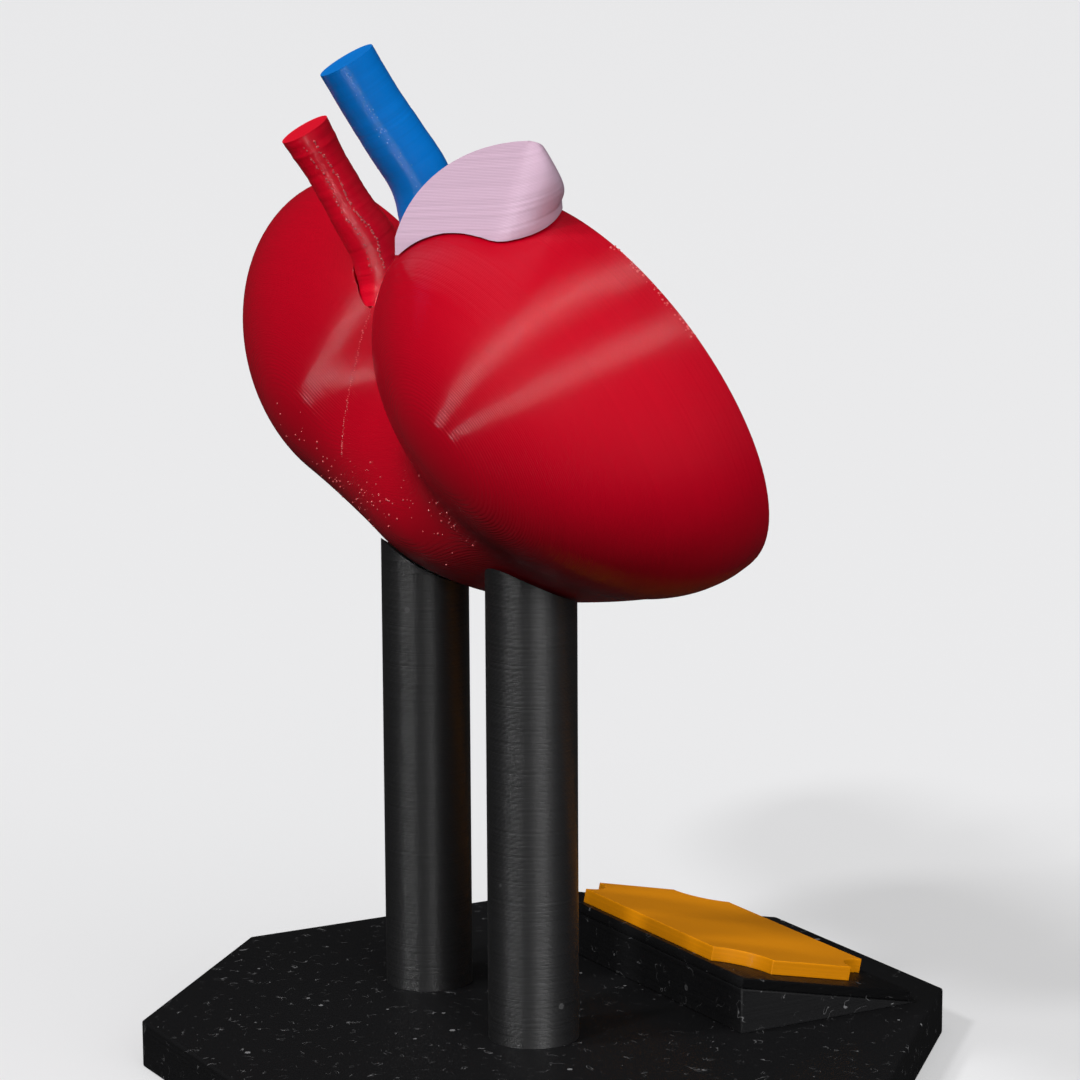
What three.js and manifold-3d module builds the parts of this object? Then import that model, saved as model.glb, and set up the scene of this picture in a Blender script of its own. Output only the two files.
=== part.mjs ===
// Kidney anatomy model on a two-post stand, printed in separate coloured pieces.
// Millimetres, +Z up. The origin is the centre of the base's underside.
// The cut face of the half kidney and the label look towards -Y; +X is on the right from there.
import * as THREE from 'three';
import { mergeVertices } from 'three/addons/utils/BufferGeometryUtils.js';
import Module from 'manifold-3d';

const wasm = await Module();
wasm.setup();

// Driving dimensions: fits
const SEAT_GAP = 0.3;            // between a piece and the curved surface that it follows
const SOCKET_GAP = 0.3;          // all round a peg or an insert in its socket
const FUSED = 1;                 // how far two forms of one piece run into each other

// Driving dimensions: the eight-sided base
const BASE_ACROSS_FLATS = 100;
const BASE_THICKNESS = 6.4;
const BASE_EDGE = 0.5;           // small chamfer along the printed edges

// Driving dimensions: the two posts
const POST_DIAMETER = 11.8;
const POST_SPACING = 29.3;
const POSTS_X = 3.4;             // middle of the pair
const POSTS_Y = 8.4;
const FOOT_DIAMETER = 8;         // spigot that plugs into the base
const FOOT_LENGTH = 4;
const PEG_DIAMETER = 6.5;        // peg that the kidney drops on to
const PEG_LENGTH = 9;            // above the kidney's underside at the post's axis

// Driving dimensions: the sloping label stand, its backing slab and the label plate
const STAND_WIDTH = 51;
const STAND_DEPTH = 28.1;
const STAND_HEIGHT = 6.2;        // of the wall at its high side
const STAND_X = 1;
const STAND_MARGIN = 6.8;        // from the base's front flat to the foot of the slope
const SLAB_THICKNESS = 1.4;
const SLAB_LENGTH = 27.3;        // down the slope
const PLATE_WIDTH = 45.4;
const PLATE_LENGTH = 24.3;       // down the slope
const PLATE_THICKNESS = 1.95;
const PLATE_SHIFT = 0.7;         // to +X from the middle of the stand
const PLATE_SETBACK = 0.9;       // from the high wall
const SCALLOP_RADIUS = 5.8;      // hollow cut from each corner of the plate

// Driving dimensions: the half kidney, measured from the middle of its cut face
const FACE_HEIGHT = 91.4;        // of that middle above the table
const FACE_Y = -1.7;
const FACE_LEAN = 16.8;          // degrees that the face leans back
const NEAR_LOBE = { x: -16.1, y: 5.4, z: -0.6, length: 34.4, depth: 25.1, height: 21, roll: 24.6, nod: 15 };
const FAR_LOBE = { x: 44.2, y: 5.2, z: 1.2, length: 28.1, depth: 13.4, height: 20.5, roll: 24.8, nod: 14.7 };
const BELLY = { x: 8.3, y: -5.5, z: -15.1, length: 35.4, depth: 25.5, height: 15.2, roll: 2.2, nod: -6 };
const LOBE_BLEND = 7.5;          // width of the soft fillet between the two lobes
const BELLY_BLEND = 9.5;
const CORE_X = 15;               // point of the cut face that sees the whole surface
const CORE_UP = -13;

// Driving dimensions: section relief on the cut face
const CORTEX = 4.4;              // rim left between the outline and the pyramids
const PYRAMID_COUNT = 7;
const PYRAMID_WIDTH = 15.5;
const PYRAMID_HEIGHT = 9;
const PYRAMID_TIP = 2.4;         // width of the blunt tip
const HILUM_ROOM = 29;           // of rim kept free of pyramids on each side of the hilum
const RELIEF_DEPTH = 2.6;        // pocket under each insert
const RELIEF_RISE = 0.8;         // of each insert above the face
const RELIEF_EDGE = 0.4;
const CALYX_RADIUS = 2.6;        // rounded cup at the end of each branch
const CALYX_GAP = 1.4;           // between a cup and its pyramid's tip
const BRANCH_RADIUS = 2;
const TRUNK_RADIUS = 3.2;
const TRUNK_DROP = 3;            // from the hilum to the upper end of the trunk
const TRUNK_LENGTH = 5;
const NEAR_FORK = { x: -31.5, up: -1.5 };  // from the lower end of the trunk
const FAR_FORK = { x: 26, up: 4 };

// Driving dimensions: vessels, as centre lines measured from the hilum
const ARTERY_ROUTE = [
  [11.6, 7.9, 0.2],
  [12.3, 7.5, 4.5],
  [12.6, 8.7, 8.5],
  [13.1, 11.7, 13.4],
  [13.6, 14.8, 18.8],
  [14.1, 18.2, 24.6],
];
const ARTERY_RADII = [3.3, 3.7, 3.5, 3.1, 3.05, 3.5];
const VEIN_ROUTE = [
  [-3.6, 7.4, -5.1],
  [-1.4, 7, 0.4],
  [0.1, 6.4, 6.3],
  [0, 6.7, 12.8],
  [0.2, 8, 18.3],
  [1.1, 11.1, 23.5],
  [1.9, 14.1, 28.3],
  [2.6, 17.5, 34.1],
];
const VEIN_RADII = [3.6, 3.8, 4, 4.1, 4.15, 4.1, 3.95, 3.95];
const SINUS = { x: 11.2, y: 9.2, z: 4.8, length: 4.2, depth: 3.4, height: 4.4 };

// Driving dimensions: adrenal gland, in the leaning frame of the cut face (x, up, back)
const GLAND_RISE = 9.7;          // above the near lobe's top
const GLAND_SKIRT = 0.2;         // height above that top where the sides start to close in
const GLAND_RIDGE_X = -18.9;     // soft outer edge of the flat back
const GLAND_RIDGE_BACK = 11.8;   // how far that edge stands behind the cut face
const GLAND_INNER_X = 0.4;       // inner edge of the flat back
const GLAND_FRONT_X = -10;       // middle of the front
const GLAND_FRONT_OUT = 5.4;     // from there to the outer side
const GLAND_FRONT_IN = 14;       // and to the inner side
const GLAND_BACK_SKEW = 0.25;    // the back runs further back by this much per millimetre of x
const GLAND_BACK_LEAN = 0.76;    // and comes forward by this much per millimetre up
const GLAND_FRONT_DROP = 0.62;   // the crest slopes down towards the front by this much per millimetre
const GLAND_BULGE = 3.4;         // of the rounded outer side
const GLAND_BULGE_PLACE = 0.45;  // share of the way back where it is
const GLAND_SOFT_OUTER = 0.25;   // share of the outer side taken by the soft ridge
const GLAND_SOFT_BACK = 0.12;    // and of the flat back
const GLAND_SINK = 9;            // how far the uncut gland reaches down into the lobe
const GLAND_FOOT_SHARE = 0.3;    // its width down there
const GLAND_WAIST = 2;           // height of the upright part below the lobe's top
const GLAND_WAIST_SHARE = 0.95;
const GLAND_LEVELS = 11;
const GLAND_CREST_TURN = 86;     // degrees of the closing curve up to the flat crest
const GLAND_ROUNDNESS = 2.3;     // exponent of the closing curve; 2 is an ellipse

const RADIANS = Math.PI / 180;
const AXIS_X = new THREE.Vector3(1, 0, 0);
const AXIS_Y = new THREE.Vector3(0, 1, 0);
const AXIS_Z = new THREE.Vector3(0, 0, 1);

// The cut face: its middle, its two in-plane directions and the way it looks
const faceMiddle = new THREE.Vector3(0, FACE_Y, FACE_HEIGHT);
const faceUp = AXIS_Z.clone().applyAxisAngle(AXIS_X, -FACE_LEAN * RADIANS);
const faceOut = AXIS_Y.clone().negate().applyAxisAngle(AXIS_X, -FACE_LEAN * RADIANS);
const facePlacement = new THREE.Matrix4().makeBasis(AXIS_X, faceUp, faceOut).setPosition(faceMiddle);

// Closed mesh to solid and back
function solidFrom(geometry) {
  const bare = new THREE.BufferGeometry();
  bare.setAttribute('position', geometry.getAttribute('position').clone());
  if (geometry.index) {
    bare.setIndex(geometry.index.clone());
  }
  const merged = mergeVertices(bare, 1e-4);
  const corners = [];
  for (let i = 0; i < merged.index.count; i += 3) {
    const [a, b, c] = [0, 1, 2].map((k) => merged.index.getX(i + k));
    if (a !== b && b !== c && c !== a) {
      corners.push(a, b, c);
    }
  }
  const mesh = new wasm.Mesh({
    numProp: 3,
    vertProperties: new Float32Array(merged.getAttribute('position').array),
    triVerts: new Uint32Array(corners),
  });
  return new wasm.Manifold(mesh);
}

function geometryFrom(solid) {
  const mesh = solid.getMesh();
  const geometry = new THREE.BufferGeometry();
  geometry.setAttribute('position', new THREE.BufferAttribute(new Float32Array(mesh.vertProperties), 3));
  geometry.setIndex(new THREE.BufferAttribute(new Uint32Array(mesh.triVerts), 1));
  geometry.computeVertexNormals();
  return geometry;
}

function material(color, roughness) {
  return new THREE.MeshStandardMaterial({ color, roughness, metalness: 0 });
}

const blackPlastic = () => material(0x17181a, 0.45);
const redPlastic = () => material(0xc4061e, 0.4);
const bluePlastic = () => material(0x0a5fb4, 0.4);
const lilacPlastic = () => material(0xd6b6cc, 0.5);
const orangePlastic = () => material(0xffa300, 0.4);
const rosePlastic = () => material(0x8e1f2c, 0.5);
const creamPlastic = () => material(0xf0d9a0, 0.5);

function piece(name, solid, surface) {
  const mesh = new THREE.Mesh(geometryFrom(solid), surface);
  mesh.name = name;
  return mesh;
}

// An upright cylinder from one height to another
function uprightCylinder(diameter, x, y, bottom, top, sides = 36) {
  const geometry = new THREE.CylinderGeometry(diameter / 2, diameter / 2, top - bottom, sides);
  geometry.rotateX(Math.PI / 2);
  geometry.translate(x, y, (bottom + top) / 2);
  return solidFrom(geometry);
}

// A lobe is an ellipsoid that is rolled about Y and nods about X.
// The value is close to the distance from its surface, negative inside.
function lobeDistance(x, y, z, lobe) {
  const roll = lobe.roll * RADIANS;
  const nod = lobe.nod * RADIANS;
  const dx = x - lobe.x;
  const dy = y - lobe.y;
  const dz = z - lobe.z;
  const along = Math.cos(roll) * dx + Math.sin(roll) * dz;
  const risen = -Math.sin(roll) * dx + Math.cos(roll) * dz;
  const back = Math.cos(nod) * dy + Math.sin(nod) * risen;
  const up = -Math.sin(nod) * dy + Math.cos(nod) * risen;
  const share = Math.hypot(along / lobe.length, back / lobe.depth, up / lobe.height);
  const steepness = Math.hypot(along / lobe.length ** 2, back / lobe.depth ** 2, up / lobe.height ** 2);
  return (share * (share - 1)) / Math.max(steepness, 1e-9);
}

// The nearer of two distances, with a soft fillet of the given width where they meet
function softNearer(first, second, width) {
  const overlap = Math.max(width - Math.abs(first - second), 0) / width;
  return Math.min(first, second) - (overlap * overlap * width) / 4;
}

// Distance from the whole kidney's surface, for a point given from the middle of the cut face
function kidneyDistance(x, y, z) {
  const near = lobeDistance(x, y, z, NEAR_LOBE);
  const far = lobeDistance(x, y, z, FAR_LOBE);
  const lobes = softNearer(near, far, LOBE_BLEND);
  return softNearer(lobes, lobeDistance(x, y, z, BELLY), BELLY_BLEND);
}

// How far a ray from a start point runs before it leaves the kidney grown by an allowance
function reachAlong(start, direction, allowance) {
  const step = 1;
  const outside = (r) => {
    const x = start.x + direction.x * r - faceMiddle.x;
    const y = start.y + direction.y * r - faceMiddle.y;
    const z = start.z + direction.z * r - faceMiddle.z;
    return kidneyDistance(x, y, z) > allowance;
  };
  let far = step;
  while (!outside(far)) {
    far += step;
  }
  let near = far - step;
  for (let i = 0; i < 20; i += 1) {
    const middle = (near + far) / 2;
    if (outside(middle)) {
      far = middle;
    } else {
      near = middle;
    }
  }
  return near;
}

// The rim of the cut face, in the frame of the face: x and up
const sectionCore = new THREE.Vector3(CORE_X, CORE_UP, 0).applyMatrix4(facePlacement);

function rimPoint(turn) {
  const direction = new THREE.Vector3()
    .addScaledVector(AXIS_X, Math.cos(turn))
    .addScaledVector(faceUp, Math.sin(turn));
  const reach = reachAlong(sectionCore, direction, 0);
  return new THREE.Vector2(CORE_X + Math.cos(turn) * reach, CORE_UP + Math.sin(turn) * reach);
}

// The hilum is the bottom of the notch between the lobes
function findHilum() {
  let lowest = rimPoint(Math.PI / 2);
  for (let degrees = 50; degrees <= 130; degrees += 0.5) {
    const point = rimPoint(degrees * RADIANS);
    if (point.y < lowest.y) {
      lowest = point;
    }
  }
  return lowest;
}

const hilum = findHilum();
const hilumPoint = new THREE.Vector3(hilum.x, hilum.y, 0).applyMatrix4(facePlacement);

// The half kidney as rings of surface points seen from the core of the cut face
function halfKidney(allowance = 0, around = 96, rings = 19) {
  const core = new THREE.Vector3(CORE_X, CORE_UP, allowance).applyMatrix4(facePlacement);
  const points = [core];
  for (let ring = 0; ring < rings; ring += 1) {
    const lift = (ring / rings) * (Math.PI / 2);
    for (let i = 0; i < around; i += 1) {
      const turn = (i / around) * Math.PI * 2;
      const direction = new THREE.Vector3()
        .addScaledVector(AXIS_X, Math.cos(turn) * Math.cos(lift))
        .addScaledVector(faceUp, Math.sin(turn) * Math.cos(lift))
        .addScaledVector(faceOut, -Math.sin(lift));
      points.push(core.clone().addScaledVector(direction, reachAlong(core, direction, allowance)));
    }
  }
  const straightBack = faceOut.clone().negate();
  points.push(core.clone().addScaledVector(straightBack, reachAlong(core, straightBack, allowance)));
  const corners = [];
  const at = (ring, i) => 1 + ring * around + (i % around);
  const pole = points.length - 1;
  for (let i = 0; i < around; i += 1) {
    corners.push(0, at(0, i), at(0, i + 1));
    for (let ring = 0; ring < rings - 1; ring += 1) {
      corners.push(at(ring, i), at(ring + 1, i), at(ring + 1, i + 1));
      corners.push(at(ring, i), at(ring + 1, i + 1), at(ring, i + 1));
    }
    corners.push(at(rings - 1, i), pole, at(rings - 1, i + 1));
  }
  const geometry = new THREE.BufferGeometry().setFromPoints(points);
  geometry.setIndex(corners);
  return solidFrom(geometry);
}

// A round bar of changing radius along a smooth route, flat at both ends
function taperedBar(route, radii, growth = 0, sides = 18, steps = 16) {
  const curve = new THREE.CatmullRomCurve3(route.map((p) => new THREE.Vector3(...p).add(hilumPoint)));
  const frames = curve.computeFrenetFrames(steps, false);
  const points = [];
  for (let step = 0; step <= steps; step += 1) {
    const place = (step / steps) * (radii.length - 1);
    const index = Math.min(Math.floor(place), radii.length - 2);
    const radius = THREE.MathUtils.lerp(radii[index], radii[index + 1], place - index) + growth;
    const centre = curve.getPointAt(step / steps);
    if (step === 0) {
      centre.addScaledVector(frames.tangents[0], -growth);
    }
    for (let side = 0; side < sides; side += 1) {
      const turn = (side / sides) * Math.PI * 2;
      points.push(
        centre.clone()
          .addScaledVector(frames.normals[step], Math.cos(turn) * radius)
          .addScaledVector(frames.binormals[step], Math.sin(turn) * radius),
      );
    }
  }
  const corners = [];
  const at = (step, side) => step * sides + (side % sides);
  for (let side = 0; side < sides; side += 1) {
    for (let step = 0; step < steps; step += 1) {
      corners.push(at(step, side), at(step, side + 1), at(step + 1, side + 1));
      corners.push(at(step, side), at(step + 1, side + 1), at(step + 1, side));
    }
  }
  for (let side = 1; side < sides - 1; side += 1) {
    corners.push(at(0, 0), at(0, side + 1), at(0, side));
    corners.push(at(steps, 0), at(steps, side), at(steps, side + 1));
  }
  const geometry = new THREE.BufferGeometry().setFromPoints(points);
  geometry.setIndex(corners);
  return solidFrom(geometry);
}

// A closed solid through rings of equal count
function lofted(sections) {
  const around = sections[0].length;
  const points = sections.flat();
  const corners = [];
  const at = (level, i) => level * around + (i % around);
  for (let i = 0; i < around; i += 1) {
    for (let level = 0; level < sections.length - 1; level += 1) {
      corners.push(at(level, i), at(level + 1, i), at(level + 1, i + 1));
      corners.push(at(level, i), at(level + 1, i + 1), at(level, i + 1));
    }
  }
  const middleOf = (ring) => ring.reduce((sum, p) => sum.add(p), new THREE.Vector3()).divideScalar(around);
  points.push(middleOf(sections[0]), middleOf(sections[sections.length - 1]));
  const top = sections.length - 1;
  for (let i = 0; i < around; i += 1) {
    corners.push(points.length - 2, at(0, i), at(0, i + 1));
    corners.push(points.length - 1, at(top, i + 1), at(top, i));
  }
  const geometry = new THREE.BufferGeometry().setFromPoints(points);
  geometry.setIndex(corners);
  return solidFrom(geometry);
}

// A flat shape pushed out of, or sunk into, the cut face
function onFace(shape, bottom, top, edge = 0, curveSegments = 12) {
  const geometry = new THREE.ExtrudeGeometry(shape, {
    depth: top - bottom - 2 * edge,
    bevelEnabled: edge > 0,
    bevelThickness: edge,
    bevelSize: edge,
    bevelOffset: -edge,
    bevelSegments: 2,
    curveSegments,
  });
  geometry.translate(0, 0, bottom + edge);
  return geometry;
}

// Base
const baseTop = BASE_THICKNESS;
const standWallY = STAND_DEPTH + STAND_MARGIN - BASE_ACROSS_FLATS / 2;
const postPlaces = [
  { name: 'post_left', x: POSTS_X - POST_SPACING / 2 },
  { name: 'post_right', x: POSTS_X + POST_SPACING / 2 },
];

function basePlate() {
  const cornerRadius = BASE_ACROSS_FLATS / 2 / Math.cos(Math.PI / 8);
  const profile = [
    new THREE.Vector2(0, 0),
    new THREE.Vector2(cornerRadius - BASE_EDGE, 0),
    new THREE.Vector2(cornerRadius, BASE_EDGE),
    new THREE.Vector2(cornerRadius, BASE_THICKNESS - BASE_EDGE),
    new THREE.Vector2(cornerRadius - BASE_EDGE, BASE_THICKNESS),
    new THREE.Vector2(0, BASE_THICKNESS),
  ];
  const geometry = new THREE.LatheGeometry(profile, 8, Math.PI / 8);
  geometry.rotateX(Math.PI / 2);
  let solid = solidFrom(geometry);
  for (const place of postPlaces) {
    const socketFloor = baseTop - FOOT_LENGTH - SOCKET_GAP;
    const width = FOOT_DIAMETER + 2 * SOCKET_GAP;
    solid = solid.subtract(uprightCylinder(width, place.x, POSTS_Y, socketFloor, baseTop + FUSED));
  }
  return solid;
}

// Height of the kidney's underside straight above a point of the base
function undersideAbove(x, y) {
  const step = 0.05;
  let z = baseTop;
  while (kidneyDistance(x - faceMiddle.x, y - faceMiddle.y, z - faceMiddle.z) > 0) {
    z += step;
  }
  return z;
}

// Post: foot spigot, shaft cut to the kidney's underside, and the peg above it
function post(place, cutter) {
  const seat = undersideAbove(place.x, POSTS_Y);
  const foot = uprightCylinder(FOOT_DIAMETER, place.x, POSTS_Y, baseTop - FOOT_LENGTH, baseTop + FUSED);
  const shaft = uprightCylinder(POST_DIAMETER, place.x, POSTS_Y, baseTop, seat + POST_DIAMETER / 2);
  const peg = uprightCylinder(PEG_DIAMETER, place.x, POSTS_Y, seat - FUSED, seat + PEG_LENGTH);
  return shaft.subtract(cutter).add(foot).add(peg);
}

function pegSocket(place) {
  const seat = undersideAbove(place.x, POSTS_Y);
  const width = PEG_DIAMETER + 2 * SOCKET_GAP;
  return uprightCylinder(width, place.x, POSTS_Y, baseTop, seat + PEG_LENGTH + SOCKET_GAP);
}

// Label stand: a wedge whose slope looks up towards -Y
const slopeAngle = Math.atan2(STAND_HEIGHT, STAND_DEPTH);
const slopePlacement = new THREE.Matrix4()
  .makeBasis(
    AXIS_X,
    new THREE.Vector3(0, Math.cos(slopeAngle), Math.sin(slopeAngle)),
    new THREE.Vector3(0, -Math.sin(slopeAngle), Math.cos(slopeAngle)),
  )
  .setPosition(STAND_X, standWallY, baseTop + STAND_HEIGHT);

function labelStand() {
  const side = new THREE.Shape();
  side.moveTo(standWallY, baseTop);
  side.lineTo(standWallY, baseTop + STAND_HEIGHT);
  side.lineTo(standWallY - STAND_DEPTH, baseTop);
  side.closePath();
  const geometry = new THREE.ExtrudeGeometry(side, { depth: STAND_WIDTH, bevelEnabled: false });
  const toUpright = new THREE.Matrix4().makeBasis(AXIS_Y, AXIS_Z, AXIS_X);
  geometry.applyMatrix4(toUpright);
  geometry.translate(STAND_X - STAND_WIDTH / 2, 0, 0);
  return solidFrom(geometry);
}

function labelBacking() {
  const geometry = new THREE.BoxGeometry(STAND_WIDTH, SLAB_LENGTH, SLAB_THICKNESS);
  geometry.translate(0, -SLAB_LENGTH / 2, SLAB_THICKNESS / 2);
  geometry.applyMatrix4(slopePlacement);
  return solidFrom(geometry);
}

// Label plate: an oblong whose four corners are scooped out, left bare
function labelPlate() {
  const halfWidth = PLATE_WIDTH / 2;
  const top = -PLATE_SETBACK;
  const bottom = top - PLATE_LENGTH;
  const r = SCALLOP_RADIUS;
  const outline = new THREE.Shape();
  outline.moveTo(-halfWidth + r, bottom);
  outline.lineTo(halfWidth - r, bottom);
  outline.absarc(halfWidth, bottom, r, Math.PI, Math.PI / 2, true);
  outline.lineTo(halfWidth, top - r);
  outline.absarc(halfWidth, top, r, -Math.PI / 2, -Math.PI, true);
  outline.lineTo(-halfWidth + r, top);
  outline.absarc(-halfWidth, top, r, 0, -Math.PI / 2, true);
  outline.lineTo(-halfWidth, bottom + r);
  outline.absarc(-halfWidth, bottom, r, Math.PI / 2, 0, true);
  const settings = { depth: PLATE_THICKNESS, bevelEnabled: false, curveSegments: 8 };
  const geometry = new THREE.ExtrudeGeometry(outline, settings);
  geometry.translate(PLATE_SHIFT, 0, SLAB_THICKNESS);
  geometry.applyMatrix4(slopePlacement);
  return solidFrom(geometry);
}

// Section relief: the outline drawn in from the rim by the cortex, sampled by arc length.
// It starts on the near side of the hilum and goes round the belly to its far side.
function cortexLine() {
  const samples = 240;
  const hilumTurn = Math.PI / 2;
  const rim = [];
  for (let i = 0; i < samples; i += 1) {
    rim.push(rimPoint(hilumTurn + (i / samples) * Math.PI * 2));
  }
  const line = rim.map((point, i) => {
    const before = rim[(i + samples - 2) % samples];
    const after = rim[(i + 2) % samples];
    const along = after.clone().sub(before).normalize();
    const inward = new THREE.Vector2(-along.y, along.x);
    return { point: point.clone().addScaledVector(inward, CORTEX), inward };
  });
  let length = 0;
  line.forEach((sample, i) => {
    if (i > 0) {
      length += sample.point.distanceTo(line[i - 1].point);
    }
    sample.length = length;
  });
  return line;
}

function sampleAt(line, length) {
  const next = Math.max(line.findIndex((sample) => sample.length >= length), 1);
  const before = line[next - 1];
  const after = line[next];
  const share = (length - before.length) / (after.length - before.length);
  return {
    point: before.point.clone().lerp(after.point, share),
    inward: before.inward.clone().lerp(after.inward, share).normalize(),
  };
}

// Pyramids: a base that follows the cortex line, straight sides and a blunt tip
function pyramidPlaces() {
  const line = cortexLine();
  const whole = line[line.length - 1].length;
  const places = [];
  for (let i = 0; i < PYRAMID_COUNT; i += 1) {
    const run = whole - 2 * HILUM_ROOM;
    const middle = HILUM_ROOM + (run * i) / (PYRAMID_COUNT - 1);
    const centre = sampleAt(line, middle);
    const tip = centre.point.clone().addScaledVector(centre.inward, PYRAMID_HEIGHT);
    places.push({ line, middle, inward: centre.inward, tip });
  }
  return places;
}

function pyramidShape(place, growth) {
  const baseSteps = 8;
  const half = PYRAMID_WIDTH / 2 + growth;
  const base = [];
  for (let i = 0; i <= baseSteps; i += 1) {
    const sample = sampleAt(place.line, place.middle - half + (2 * half * i) / baseSteps);
    base.push(sample.point.clone().addScaledVector(sample.inward, -growth));
  }
  const across = new THREE.Vector2(place.inward.y, -place.inward.x);
  const tip = place.tip.clone().addScaledVector(place.inward, growth);
  const tipHalf = PYRAMID_TIP / 2 + growth;
  const tipEnds = [1, -1].map((side) => tip.clone().addScaledVector(across, side * tipHalf));
  return new THREE.Shape([...base, ...tipEnds]);
}

// An insert of the relief, or the pocket for it where it is grown
function reliefSolid(shape, growth, edge = RELIEF_EDGE, curveSegments = 12) {
  const bottom = -RELIEF_DEPTH - growth;
  if (growth > 0) {
    return solidFrom(onFace(shape, bottom, FUSED, 0, curveSegments).applyMatrix4(facePlacement));
  }
  return solidFrom(onFace(shape, bottom, RELIEF_RISE, edge, curveSegments).applyMatrix4(facePlacement));
}

// A rounded stroke between two circles of the pelvis
function stroke(from, to, fromRadius, toRadius) {
  const along = to.clone().sub(from);
  const heading = Math.atan2(along.y, along.x);
  const opening = Math.acos(THREE.MathUtils.clamp((fromRadius - toRadius) / along.length(), -1, 1));
  const shape = new THREE.Shape();
  shape.absarc(to.x, to.y, toRadius, heading - opening, heading + opening, false);
  shape.absarc(from.x, from.y, fromRadius, heading + opening, heading - opening + 2 * Math.PI, false);
  return shape;
}

// Pelvis: a trunk from the hilum, a long bar under both lobes, and a branch with a cup
// for each pyramid that the bar doesn't already pass
function pelvis(places, growth) {
  const top = new THREE.Vector3(hilum.x, hilum.y - TRUNK_DROP, 0);
  const trunk = new THREE.Vector3(top.x, top.y - TRUNK_LENGTH, 0);
  const nearFork = new THREE.Vector3(trunk.x + NEAR_FORK.x, trunk.y + NEAR_FORK.up, 0);
  const farFork = new THREE.Vector3(trunk.x + FAR_FORK.x, trunk.y + FAR_FORK.up, 0);
  const shapes = [
    stroke(top, trunk, TRUNK_RADIUS + growth, TRUNK_RADIUS + growth),
    stroke(trunk, nearFork, TRUNK_RADIUS + growth, BRANCH_RADIUS + growth),
    stroke(trunk, farFork, TRUNK_RADIUS + growth, BRANCH_RADIUS + growth),
  ];
  const bars = [new THREE.Line3(trunk, nearFork), new THREE.Line3(trunk, farFork)];
  for (const place of places) {
    const cup = place.tip.clone().addScaledVector(place.inward, CALYX_GAP + CALYX_RADIUS);
    const end = new THREE.Vector3(cup.x, cup.y, 0);
    const roots = bars.map((bar) => bar.closestPointToPoint(end, true, new THREE.Vector3()));
    roots.sort((a, b) => a.distanceTo(end) - b.distanceTo(end));
    if (roots[0].distanceTo(end) > CALYX_RADIUS) {
      shapes.push(stroke(roots[0], end, BRANCH_RADIUS + growth, CALYX_RADIUS + growth));
    }
  }
  const strokes = shapes.map((shape) => reliefSolid(shape, growth, 0, 3));
  return strokes.reduce((joined, next) => joined.add(next));
}

// The hollow at the hilum that the artery comes out of
function sinus() {
  const geometry = new THREE.SphereGeometry(1, 28, 18);
  geometry.scale(SINUS.length, SINUS.depth, SINUS.height);
  geometry.translate(hilumPoint.x + SINUS.x, hilumPoint.y + SINUS.y, hilumPoint.z + SINUS.z);
  return solidFrom(geometry);
}

// Adrenal gland: level sections with a flat leaning back and a rounded outer side,
// closing in to a short crest, then cut to the near lobe
function highestOfNearLobe() {
  let highest = rimPoint(Math.PI / 2);
  for (let degrees = 90; degrees <= 180; degrees += 1) {
    const point = rimPoint(degrees * RADIANS);
    if (point.y > highest.y) {
      highest = point;
    }
  }
  return highest.y;
}

function glandSection(up, lobeTop, closing, shrink) {
  const open = (1 - closing ** GLAND_ROUNDNESS) ** (1 / GLAND_ROUNDNESS);
  const backAt = (x) => (
    GLAND_RIDGE_BACK + GLAND_BACK_SKEW * (x - GLAND_RIDGE_X) - GLAND_BACK_LEAN * (up - lobeTop)
  );
  const innerX = GLAND_RIDGE_X + (GLAND_INNER_X - GLAND_RIDGE_X) * open;
  const frontOuter = new THREE.Vector2(GLAND_FRONT_X - GLAND_FRONT_OUT * open, 0);
  const frontInner = new THREE.Vector2(GLAND_FRONT_X + GLAND_FRONT_IN * open, 0);
  const ridge = new THREE.Vector2(GLAND_RIDGE_X, backAt(GLAND_RIDGE_X));
  const inner = new THREE.Vector2(innerX, backAt(innerX));
  const bulge = new THREE.Vector2(ridge.x - GLAND_BULGE * open, ridge.y * GLAND_BULGE_PLACE);
  const beforeRidge = ridge.clone().lerp(bulge, GLAND_SOFT_OUTER);
  const afterRidge = ridge.clone().lerp(inner, GLAND_SOFT_BACK);
  const points = [
    ...new THREE.QuadraticBezierCurve(frontOuter, bulge, beforeRidge).getPoints(8),
    ...new THREE.QuadraticBezierCurve(beforeRidge, ridge, afterRidge).getPoints(4).slice(1),
    ...new THREE.LineCurve(afterRidge, inner).getPoints(4).slice(1),
    ...new THREE.LineCurve(inner, frontInner).getPoints(4).slice(1),
    ...new THREE.LineCurve(frontInner, frontOuter).getPoints(4).slice(1, -1),
  ];
  const middle = new THREE.Vector2(GLAND_FRONT_X, GLAND_RIDGE_BACK / 2);
  return points.map((point) => {
    const kept = middle.clone().lerp(point, shrink);
    const drop = GLAND_FRONT_DROP * closing * (backAt(kept.x) - kept.y);
    return new THREE.Vector3(kept.x, up - drop, -kept.y).applyMatrix4(facePlacement);
  });
}

function adrenalGland(cutter) {
  const lobeTop = highestOfNearLobe();
  const skirt = lobeTop + GLAND_SKIRT;
  const crest = lobeTop + GLAND_RISE;
  const sections = [
    glandSection(lobeTop - GLAND_SINK, lobeTop, 0, GLAND_FOOT_SHARE),
    glandSection(lobeTop - GLAND_WAIST, lobeTop, 0, GLAND_WAIST_SHARE),
    glandSection(lobeTop, lobeTop, 0, 1),
  ];
  for (let i = 0; i <= GLAND_LEVELS; i += 1) {
    const closing = Math.sin((i / GLAND_LEVELS) * GLAND_CREST_TURN * RADIANS);
    sections.push(glandSection(skirt + (crest - skirt) * closing, lobeTop, closing, 1));
  }
  return lofted(sections).subtract(cutter);
}

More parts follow.
